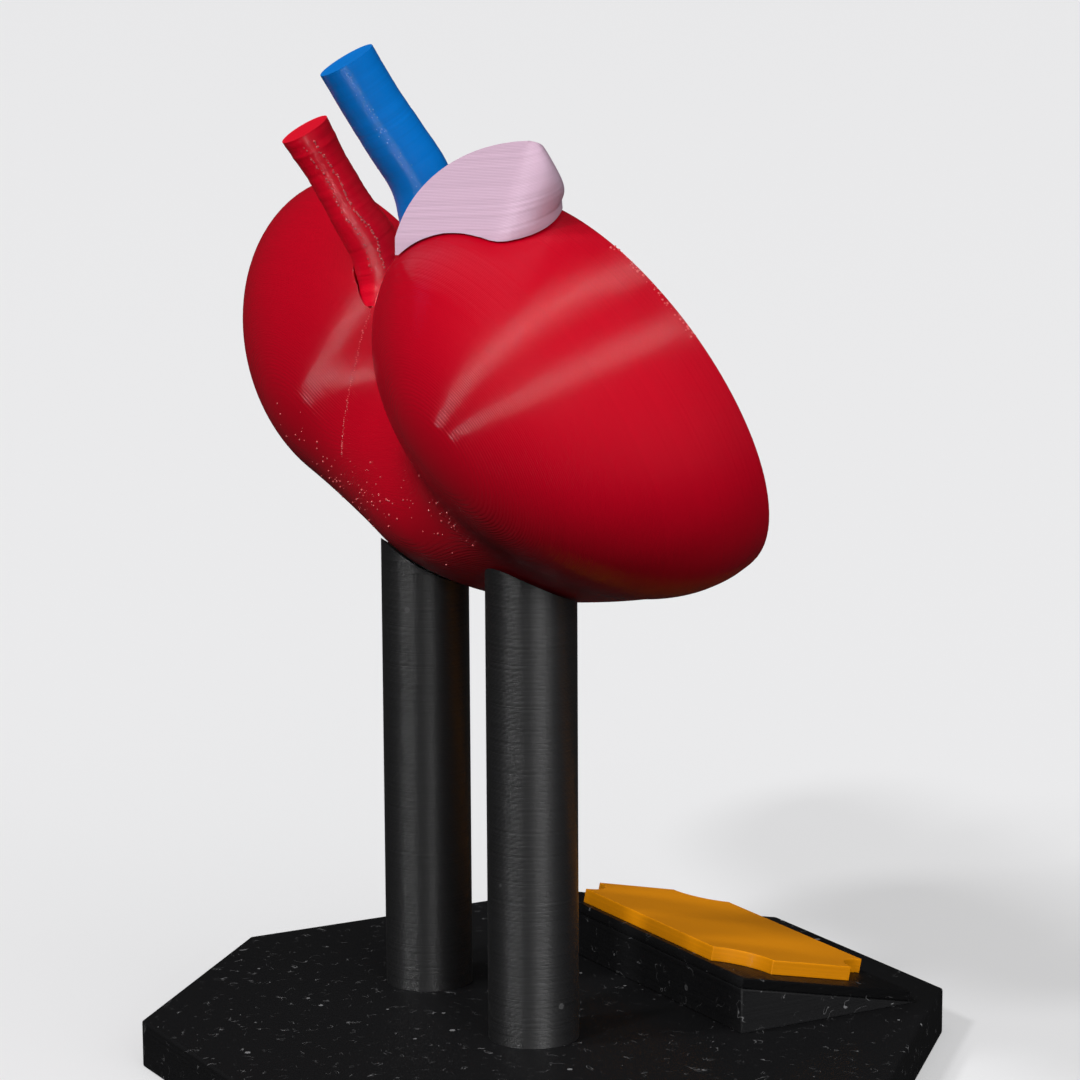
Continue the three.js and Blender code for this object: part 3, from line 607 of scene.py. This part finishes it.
plate_up = SLAB_THICKNESS + PLATE_THICKNESS / 2
plate = block("label_plate_print", on_slope(PLATE_SHIFT, PLATE_SETBACK + PLATE_LENGTH / 2, plate_up),
              (PLATE_WIDTH, PLATE_LENGTH, PLATE_THICKNESS), (slope, 0, 0))
for side in (-1, 1):
    for down in (PLATE_SETBACK, PLATE_SETBACK + PLATE_LENGTH):
        bpy.ops.mesh.primitive_cylinder_add(
            vertices=96, radius=SCALLOP_RADIUS, depth=3 * PLATE_THICKNESS,
            location=on_slope(PLATE_SHIFT + side * PLATE_WIDTH / 2, down, plate_up), rotation=(slope, 0, 0))
        scoop = bpy.context.object
        keep_place(scoop)
        cut_or_join(plate, scoop, "DIFFERENCE")
round_edges(plate, PLATE_EDGE, segments=3)
smooth_faces(plate)
keep_flat(plate, slope_up, (1, 0, 0), (-1, 0, 0))
orange_print = printed_plastic("orange_print", ORANGE, tuple(slope_up), roughness=0.22, shine=0.3,
                               tone_depth=0.06, mottle=0.06)
fit(plate, "stand", orange_print, "orange_print", "label_plate")


# Kidney body
# The red half kidney is printed on its cut face, so its layers lie parallel to that face. It has
# sockets for the pegs and vessels, a hollow at the hilum, and pockets for the section relief.
RED = (0.53, 0.0004, 0.0130, 1)
RIM_EDGE = 0.3 * MM
layers_back = tuple(-face_out)

# Places below are from the hilum, the deepest point of the rim's notch, and in millimetres
HILUM_SINUS = {"middle": (11.8, 8.6, 5.1), "half": (3.9, 3.1, 3.8)}
ARTERY_ROUTE = [(11.6, 7.9, 0.2), (12.3, 7.5, 4.5), (12.6, 8.7, 8.5), (13.1, 11.7, 13.4),
                (13.6, 14.8, 18.8), (14.1, 18.2, 24.6)]
ARTERY_RADII = [3.3, 3.7, 3.5, 3.1, 3.05, 3.5]
VEIN_ROUTE = [(-3.6, 7.4, -5.1), (-1.4, 7, 0.4), (0.1, 6.4, 6.3), (0, 6.7, 12.8), (0.2, 8, 18.3),
              (1.1, 11.1, 23.5), (1.9, 14.1, 28.3), (2.6, 17.5, 34.1)]
VEIN_RADII = [3.6, 3.8, 4, 4.1, 4.15, 4.1, 3.95, 3.95]


def rim_points(degrees):
    """Points of the cut face's rim, across and up, for turns about the core"""
    turns = np.radians(degrees)
    directions = np.cos(turns)[:, None] * np.array([1.0, 0, 0]) + np.sin(turns)[:, None] * face_up
    reach = reach_from(on_face(CORE_X, CORE_UP), directions, 0)
    return np.stack([CORE_X + np.cos(turns) * reach, CORE_UP + np.sin(turns) * reach], axis=1)


notch = rim_points(np.arange(50, 130.5, 0.5))
hilum = notch[np.argmin(notch[:, 1])]
hilum_point = on_face(*hilum)


def between(first, second, at, at_first, at_second):
    """The mix of two points, or of two rows of points, that falls at a place between theirs"""
    span = at_second - at_first
    return (at_second - at) / span * first + (at - at_first) / span * second


def smooth_route(route, steps):
    """Evenly spaced points along a centripetal curve through the route, and their shares of it"""
    knots = np.array(route, dtype=float) * MM + hilum_point
    padded = np.vstack([2 * knots[0] - knots[1], knots, 2 * knots[-1] - knots[-2]])
    dense = []
    for i in range(len(knots) - 1):
        p = padded[i:i + 4]
        t = np.concatenate([[0], np.cumsum(np.linalg.norm(np.diff(p, axis=0), axis=1) ** 0.5)])
        s = np.linspace(t[1], t[2], 40, endpoint=i == len(knots) - 2)[:, None]
        a = [between(p[k], p[k + 1], s, t[k], t[k + 1]) for k in range(3)]
        b = [between(a[k], a[k + 1], s, t[k], t[k + 2]) for k in range(2)]
        dense.append(between(b[0], b[1], s, t[1], t[2]))
    dense = np.vstack(dense)
    run = np.concatenate([[0], np.cumsum(np.linalg.norm(np.diff(dense, axis=0), axis=1))])
    shares = np.linspace(0, 1, steps + 1)
    even = np.stack([np.interp(shares * run[-1], run, dense[:, axis]) for axis in range(3)], axis=1)
    return even, shares


def vessel(name, route, radii, growth=0.0, steps=120, wobble=0.0, seed=0):
    """A round bar of changing radius along a smooth route, flat at both ends"""
    centres, shares = smooth_route(route, steps)
    if growth:
        centres[0] += (centres[0] - centres[1]) / np.linalg.norm(centres[0] - centres[1]) * growth
    widths = np.interp(shares * (len(radii) - 1), range(len(radii)), radii) * MM + growth
    rng = np.random.default_rng(seed)
    widths += wobble * np.convolve(rng.normal(size=steps + 3), np.ones(3) / 3, mode="valid")
    data = bpy.data.curves.new(name, "CURVE")
    data.dimensions = "3D"
    data.bevel_depth = 1
    data.bevel_resolution = 12
    data.use_fill_caps = True
    spline = data.splines.new("POLY")
    spline.points.add(steps)
    for point, centre, width in zip(spline.points, centres, widths):
        point.co = (*centre, 1)
        point.radius = width
    bar = bpy.data.objects.new(name, data)
    bpy.context.scene.collection.objects.link(bar)
    select_only(bar)
    bpy.ops.object.convert(target="MESH")
    piece = bpy.context.object
    apply_modifier(piece, "WELD", merge_threshold=0.002 * MM)
    return piece


DROP_MOTTLE_SCALE = 900


def drop_plastic(name, colour):
    """Drops of the same plastic with a bare gloss, in a colour given paler than the skin's: a painted
    highlight for the lamps' glints on them
    """
    material, tree, shader = new_material(name)
    place = add_node(tree, "ShaderNodeTexCoord").outputs["Object"]
    cloud = add_node(tree, "ShaderNodeTexNoise", {
        "Vector": place, "Scale": DROP_MOTTLE_SCALE, "Detail": 2,
    }).outputs["Fac"]
    dark = tuple(c * 0.6 for c in colour[:3]) + (1,)
    tree.links.new(blend_colour(tree, cloud, dark, colour), shader.inputs["Base Color"])
    tree.links.new(math_node(tree, "MULTIPLY_ADD", cloud, 0.2, 0.15), shader.inputs["Roughness"])
    bump = add_node(tree, "ShaderNodeBump", {"Height": cloud, "Distance": 0.03 * MM, "Strength": 0.5})
    tree.links.new(bump.outputs["Normal"], shader.inputs["Normal"])
    shader.inputs["Specular IOR Level"].default_value = 0.9
    return material


def blobs(name, places, sizes, material, slot):
    """Small drops of plastic, merged into one piece that rides on the kidney"""
    drops = bmesh.new()
    for place, size in zip(places, sizes):
        there = Matrix.Translation(Vector(place))
        bmesh.ops.create_icosphere(drops, subdivisions=2, radius=size, matrix=there)
    data = bpy.data.meshes.new(name)
    drops.to_mesh(data)
    drops.free()
    piece = bpy.data.objects.new(name, data)
    bpy.context.scene.collection.objects.link(piece)
    smooth_faces(piece, 180)
    fit(piece, "kidney", material, slot)
    return piece


def on_kidney(x, up):
    """The points of the kidney's back behind places of the cut face, in millimetres"""
    starts = [on_face(across * MM, risen * MM) for across, risen in zip(x, up)]
    return np.array([start - face_out * reach_from(start, -face_out[None, :], 0)[0] for start in starts])


def grown_copy(node, growth):
    """A merged copy of a CAD node, swollen by the socket gap, to cut its pocket with"""
    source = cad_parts[node]
    piece = bpy.data.objects.new("pocket", source.data.copy())
    bpy.context.scene.collection.objects.link(piece)
    apply_modifier(piece, "WELD", merge_threshold=0.005 * MM)
    apply_modifier(piece, "DISPLACE", strength=growth, mid_level=0)
    return piece


kidney = half_kidney("kidney_print", 0, 320, 220)
round_edges(kidney, RIM_EDGE, segments=3, angle=50)
bpy.ops.mesh.primitive_uv_sphere_add(segments=48, ring_count=32, radius=1)
hollow = bpy.context.object
hollow.scale = [half * MM for half in HILUM_SINUS["half"]]
hollow.location = hilum_point + np.array(HILUM_SINUS["middle"]) * MM
keep_place(hollow)
cut_or_join(kidney, hollow, "DIFFERENCE")
for name, (x, y) in POST_PLACES.items():
    top = seats[name] + PEG_LENGTH + SOCKET_GAP
    socket = upright_cylinder("socket", PEG_DIAMETER + 2 * SOCKET_GAP, (x, y), BASE_THICKNESS, top, 48)
    cut_or_join(kidney, socket, "DIFFERENCE")
cut_or_join(kidney, vessel("socket", ARTERY_ROUTE, ARTERY_RADII, SOCKET_GAP), "DIFFERENCE")
cut_or_join(kidney, vessel("socket", VEIN_ROUTE, VEIN_RADII, SOCKET_GAP), "DIFFERENCE")
pyramid_nodes = [f"renal_pyramid_{i}" for i in range(1, 8)]
for node in ["renal_pelvis", *pyramid_nodes]:
    cut_or_join(kidney, grown_copy(node, SOCKET_GAP), "DIFFERENCE")
smooth_faces(kidney, 40)
keep_flat(kidney, face_out)
red_print = printed_plastic("red_print", RED, layers_back, shine=0.7, under_shine=0.03, tone_depth=0.02,
                            mottle=0.05, grain=0.6)
fit(kidney, "kidney", red_print, "red_print", "kidney_body")

# Where each layer starts, a drop stands out: they line up in a seam down the far lobe. More drops
# lie about on the small last layers of the belly, and make a ragged brim on the near lobe's rim.
# Their places on the face and their radii are in millimetres, the brim's turns in degrees.
# The drops' red is paler than the body's red: the drops are real, their paleness is a painted highlight for
# their glints.
RED_DROP_PAINTED_GLINT = (1.0, 0.17, 0.18, 1)
red_drops_painted_glint = drop_plastic("red_drops_painted_glint", RED_DROP_PAINTED_GLINT)
SEAM_X = 27.8
SEAM_WAVER = 0.12
SEAM_FROM_UP = 10.2
SEAM_TO_UP = -7.5
SEAM_DROPS = 70
SEAM_DROP_SIZES = (0.06, 0.15)
BELLY_DROPS = 110
BELLY_SPAN = (-12, 47)
BELLY_MIDDLE_UP = -11
BELLY_SPREAD = 2.6
BELLY_RISE_FROM = 38               # from here the drops climb with the far lobe's underside
BELLY_RISE = 0.9
BELLY_DROP_SIZES = (0.05, 0.17)
BRIM_DROPS = 46
BRIM_TURNS = (141, 158)
BRIM_DEPTHS = (0.1, 1.0)
BRIM_DROP_SIZES = (0.06, 0.2)
rng = np.random.default_rng(11)
seam_up = np.linspace(SEAM_FROM_UP, SEAM_TO_UP, SEAM_DROPS)
seam_x = SEAM_X + SEAM_WAVER * rng.normal(size=SEAM_DROPS)
seam_sizes = rng.uniform(*SEAM_DROP_SIZES, SEAM_DROPS) * MM
blobs("kidney_seam", on_kidney(seam_x, seam_up), seam_sizes, red_drops_painted_glint, "red_print")
belly_x = rng.uniform(*BELLY_SPAN, BELLY_DROPS)
belly_up = BELLY_MIDDLE_UP + BELLY_SPREAD * rng.normal(size=BELLY_DROPS)
belly_up += np.maximum(belly_x - BELLY_RISE_FROM, 0) * BELLY_RISE
belly_sizes = rng.uniform(*BELLY_DROP_SIZES, BELLY_DROPS) * MM
blobs("kidney_drops", on_kidney(belly_x, belly_up), belly_sizes, red_drops_painted_glint, "red_print")
brim_turns = np.radians(rng.uniform(*BRIM_TURNS, BRIM_DROPS))
brim_out = np.cos(brim_turns)[:, None] * np.array([1.0, 0, 0]) + np.sin(brim_turns)[:, None] * face_up
brim_depth = rng.uniform(*BRIM_DEPTHS, BRIM_DROPS) * MM
brim_places = []
for direction, depth in zip(brim_out, brim_depth):
    start = on_face(CORE_X, CORE_UP, -depth)
    brim_places.append(start + direction * reach_from(start, direction[None, :], 0)[0])
brim_sizes = rng.uniform(*BRIM_DROP_SIZES, BRIM_DROPS) * MM
blobs("kidney_brim", brim_places, brim_sizes, red_drops_painted_glint, "red_print")


# Section relief
# The cream pelvis and the dark rose pyramids are flat printed inserts in pockets of the cut face.
# The solids already have their full shape, so they only get their plastics here.
CREAM = (0.80, 0.62, 0.33, 1)
ROSE = (0.27, 0.012, 0.024, 1)
cream_print = printed_plastic("cream_print", CREAM, tuple(face_out), roughness=0.38, tone_depth=0.05)
rose_print = printed_plastic("rose_print", ROSE, tuple(face_out), roughness=0.38, tone_depth=0.10)
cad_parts["renal_pelvis"].material_slots[0].material = cream_print
for node in pyramid_nodes:
    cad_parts[node].material_slots[0].material = rose_print


# Vessels
# Artery and vein are round bars printed standing on end, so their layers are rings round them.
# Drops lie in two seams down the artery and in two looser strips down the vein. The drops are paler than
# their vessels: a painted highlight for their glints.
# The artery is its own piece of red plastic, but its red is set brighter than the body's: painted light for
# what it loses where the vein and the gland shade it.
ARTERY_RED_PAINTED_LIGHT = (0.95, 0.0010, 0.024, 1)
BLUE = (0.0010, 0.20, 0.70, 1)
# The vein's drops are a paler blue than the vein: real drops, painted as a speckled line of glints.
BLUE_DROP_PAINTED_GLINT = (0.10, 0.42, 0.85, 1)
SEAM_SIDE = Vector((-0.86, 0.48, 0.17))
DROP_SINK = 0.06 * MM
ARTERY_WAVER = 0.03 * MM
ARTERY_SEAMS = ((8, 110), (-20, 60))               # turn away from the seams' side, number of drops
ARTERY_SEAM_SPAN = (0.95, 0.22)
ARTERY_SEAM_WAVE = 4
ARTERY_DROP_SIZES = (0.05, 0.18)
VEIN_WAVER = 0.025 * MM
VEIN_STRIPS = ((-14, 5, 60), (-80, 6, 26))         # turn, spread of the turn, number of drops
VEIN_STRIP_SPAN = (0.35, 0.98)
VEIN_DROP_SIZES = (0.04, 0.12)
end_up = Vector((0.05, 0.5, 0.86)).normalized()
artery_red_painted_light = printed_plastic("artery_red_print", ARTERY_RED_PAINTED_LIGHT, tuple(end_up), roughness=0.2, tone_depth=0.03,
                             mottle=0.05, grain=1.0)
vein_blue = printed_plastic("vein_blue_print", BLUE, tuple(end_up), roughness=0.16, shine=0.5,
                            under_shine=0.03, tone_depth=0.04, mottle=0.06, grain=0.8)
artery = vessel("renal_artery_print", ARTERY_ROUTE, ARTERY_RADII, wobble=ARTERY_WAVER, seed=3)
smooth_faces(artery, 50)
fit(artery, "kidney", artery_red_painted_light, "red_print", "renal_artery")


def on_vessel(route, radii, shares, turns):
    """Places on a vessel's skin: shares of its length, and turns away from the seams' side"""
    centres, marks = smooth_route(route, 200)
    along = np.gradient(centres, axis=0)
    places = []
    for share, turn in zip(shares, turns):
        centre = np.array([np.interp(share, marks, centres[:, axis]) for axis in range(3)])
        axis_way = Vector([np.interp(share, marks, along[:, axis]) for axis in range(3)]).normalized()
        outward = SEAM_SIDE - axis_way * SEAM_SIDE.dot(axis_way)
        outward = Matrix.Rotation(math.radians(turn), 3, axis_way) @ outward.normalized()
        width = np.interp(share * (len(radii) - 1), range(len(radii)), radii) * MM
        places.append(Vector(centre) + outward * (width - DROP_SINK))
    return places


rng = np.random.default_rng(4)
for number, (turn, count) in enumerate(ARTERY_SEAMS):
    shares = np.linspace(*ARTERY_SEAM_SPAN, count) + 0.004 * rng.normal(size=count)
    turns = turn + 1.5 * rng.normal(size=count) + ARTERY_SEAM_WAVE * np.sin(shares * 19)
    drop_sizes = rng.uniform(*ARTERY_DROP_SIZES, count) * MM
    places = on_vessel(ARTERY_ROUTE, ARTERY_RADII, shares, turns)
    blobs(f"artery_seam_{number}", places, drop_sizes, red_drops_painted_glint, "red_print")
vein = vessel("renal_vein_print", VEIN_ROUTE, VEIN_RADII, wobble=VEIN_WAVER, seed=5)
smooth_faces(vein, 50)
fit(vein, "kidney", vein_blue, "blue_print", "renal_vein")
blue_drops_painted_glint = drop_plastic("blue_drops_painted_glint", BLUE_DROP_PAINTED_GLINT)
for number, (turn, spread, count) in enumerate(VEIN_STRIPS):
    shares = rng.uniform(*VEIN_STRIP_SPAN, count)
    turns = turn + spread * rng.normal(size=count)
    drop_sizes = rng.uniform(*VEIN_DROP_SIZES, count) * MM
    places = on_vessel(VEIN_ROUTE, VEIN_RADII, shares, turns)
    blobs(f"vein_drops_{number}", places, drop_sizes, blue_drops_painted_glint, "blue_print")


# Adrenal gland
# A pale lilac cap, printed upright, that sits on the near lobe: a flat leaning back, a soft ridge,
# a full outer side and a short crest. Its underside follows the lobe.
GLAND_RISE = 9.7 * MM              # of the crest above the lobe's top
GLAND_SKIRT = 0.2 * MM             # above the lobe's top, where the sides start to close in
GLAND_RIDGE_X = -18.9 * MM
GLAND_RIDGE_BACK = 11.8 * MM
GLAND_INNER_X = 0.4 * MM
GLAND_FRONT_X = -10 * MM           # the crest's front end
GLAND_FRONT_OUT = 4.4 * MM         # from the front end to the outer and the inner front corners
GLAND_FRONT_IN = 14 * MM
GLAND_PUFF = 2.1 * MM              # of the outer side, which is fullest above its middle
GLAND_PUFF_END = 0.97
GLAND_PUFF_RISE = 1.4
GLAND_BACK_SKEW = 0.25
GLAND_BACK_LEAN = 0.76
GLAND_FRONT_DROP = 0.62
GLAND_BULGE = 3.4 * MM
GLAND_BULGE_PLACE = 0.45
GLAND_SOFT_OUTER = 0.25
GLAND_SOFT_BACK = 0.12
GLAND_SINK = 9 * MM                # the foot under the lobe's skin, which is cut away
GLAND_FOOT_SHARE = 0.3
GLAND_WAIST = 2 * MM
GLAND_WAIST_SHARE = 0.95
GLAND_LEVELS = 48
GLAND_CREST_TURN = math.radians(86)
GLAND_ROUNDNESS = 2.3
LILAC = (0.72, 0.50, 0.64, 1)

lobe_top = rim_points(np.arange(90, 181, 1.0))[:, 1].max()


def bend(start, pull, end, count):
    """Points of a quadratic curve, without its last one"""
    t = np.linspace(0, 1, count, endpoint=False)[:, None]
    return (1 - t) ** 2 * start + 2 * t * (1 - t) * pull + t ** 2 * end


def gland_section(up, closing, shrink):
    """The gland's outline at one height; closing runs from 0 at the skirt to 1 at the crest"""
    open_share = (1 - closing ** GLAND_ROUNDNESS) ** (1 / GLAND_ROUNDNESS)

    def back_at(x):
        return GLAND_RIDGE_BACK + GLAND_BACK_SKEW * (x - GLAND_RIDGE_X) - GLAND_BACK_LEAN * (up - lobe_top)

    inner_x = GLAND_RIDGE_X + (GLAND_INNER_X - GLAND_RIDGE_X) * open_share
    puff = GLAND_PUFF * math.sin(math.pi * min(closing / GLAND_PUFF_END, 1) ** GLAND_PUFF_RISE)
    front_outer = np.array([GLAND_FRONT_X - GLAND_FRONT_OUT * open_share - puff, 0])
    front_inner = np.array([GLAND_FRONT_X + GLAND_FRONT_IN * open_share, 0])
    ridge = np.array([GLAND_RIDGE_X, back_at(GLAND_RIDGE_X)])
    inner = np.array([inner_x, back_at(inner_x)])
    bulge = np.array([ridge[0] - GLAND_BULGE * open_share - puff / 2, ridge[1] * GLAND_BULGE_PLACE])
    before = ridge + (bulge - ridge) * GLAND_SOFT_OUTER
    after = ridge + (inner - ridge) * GLAND_SOFT_BACK
    outline = np.vstack([
        bend(front_outer, bulge, before, 28),
        bend(before, ridge, after, 14),
        bend(after, (after + inner) / 2, inner, 20),
        bend(inner, (inner + front_inner) / 2, front_inner, 16),
        bend(front_inner, (front_inner + front_outer) / 2, front_outer, 16),
    ])
    middle = np.array([GLAND_FRONT_X, GLAND_RIDGE_BACK / 2])
    kept = middle + (outline - middle) * shrink
    drop = GLAND_FRONT_DROP * closing * (back_at(kept[:, 0]) - kept[:, 1])
    return [on_face(x, up - fall, -back) for (x, back), fall in zip(kept, drop)]


def lofted(name, sections):
    """A closed skin through rings of equal count"""
    skin = bmesh.new()
    rings = [[skin.verts.new(point) for point in section] for section in sections]
    count = len(rings[0])
    for lower, upper in zip(rings, rings[1:]):
        for i in range(count):
            skin.faces.new((lower[i], upper[i], upper[(i + 1) % count], lower[(i + 1) % count]))
    for ring in (rings[0], rings[-1]):
        middle = skin.verts.new(sum((vert.co for vert in ring), Vector()) / count)
        for i in range(count):
            skin.faces.new((ring[i], ring[(i + 1) % count], middle))
    bmesh.ops.recalc_face_normals(skin, faces=skin.faces)
    data = bpy.data.meshes.new(name)
    skin.to_mesh(data)
    skin.free()
    piece = bpy.data.objects.new(name, data)
    bpy.context.scene.collection.objects.link(piece)
    return piece


skirt = lobe_top + GLAND_SKIRT
crest = lobe_top + GLAND_RISE
sections = [
    gland_section(lobe_top - GLAND_SINK, 0, GLAND_FOOT_SHARE),
    gland_section(lobe_top - GLAND_WAIST, 0, GLAND_WAIST_SHARE),
    gland_section(lobe_top, 0, 1),
]
for level in range(GLAND_LEVELS + 1):
    closing = math.sin(level / GLAND_LEVELS * GLAND_CREST_TURN)
    sections.append(gland_section(skirt + (crest - skirt) * closing, closing, 1))
gland = lofted("adrenal_gland_print", sections)
cut_or_join(gland, grown_kidney, "DIFFERENCE", keep_tool=True)
smooth_faces(gland, 50)
lilac_print = printed_plastic("lilac_print", LILAC, tuple(face_up), roughness=0.3, shine=0.5,
                              line_depth=0.3, tone_depth=0.03, mottle=0.03)
fit(gland, "kidney", lilac_print, "lilac_print", "adrenal_gland")
bpy.data.objects.remove(grown_kidney, do_unlink=True)
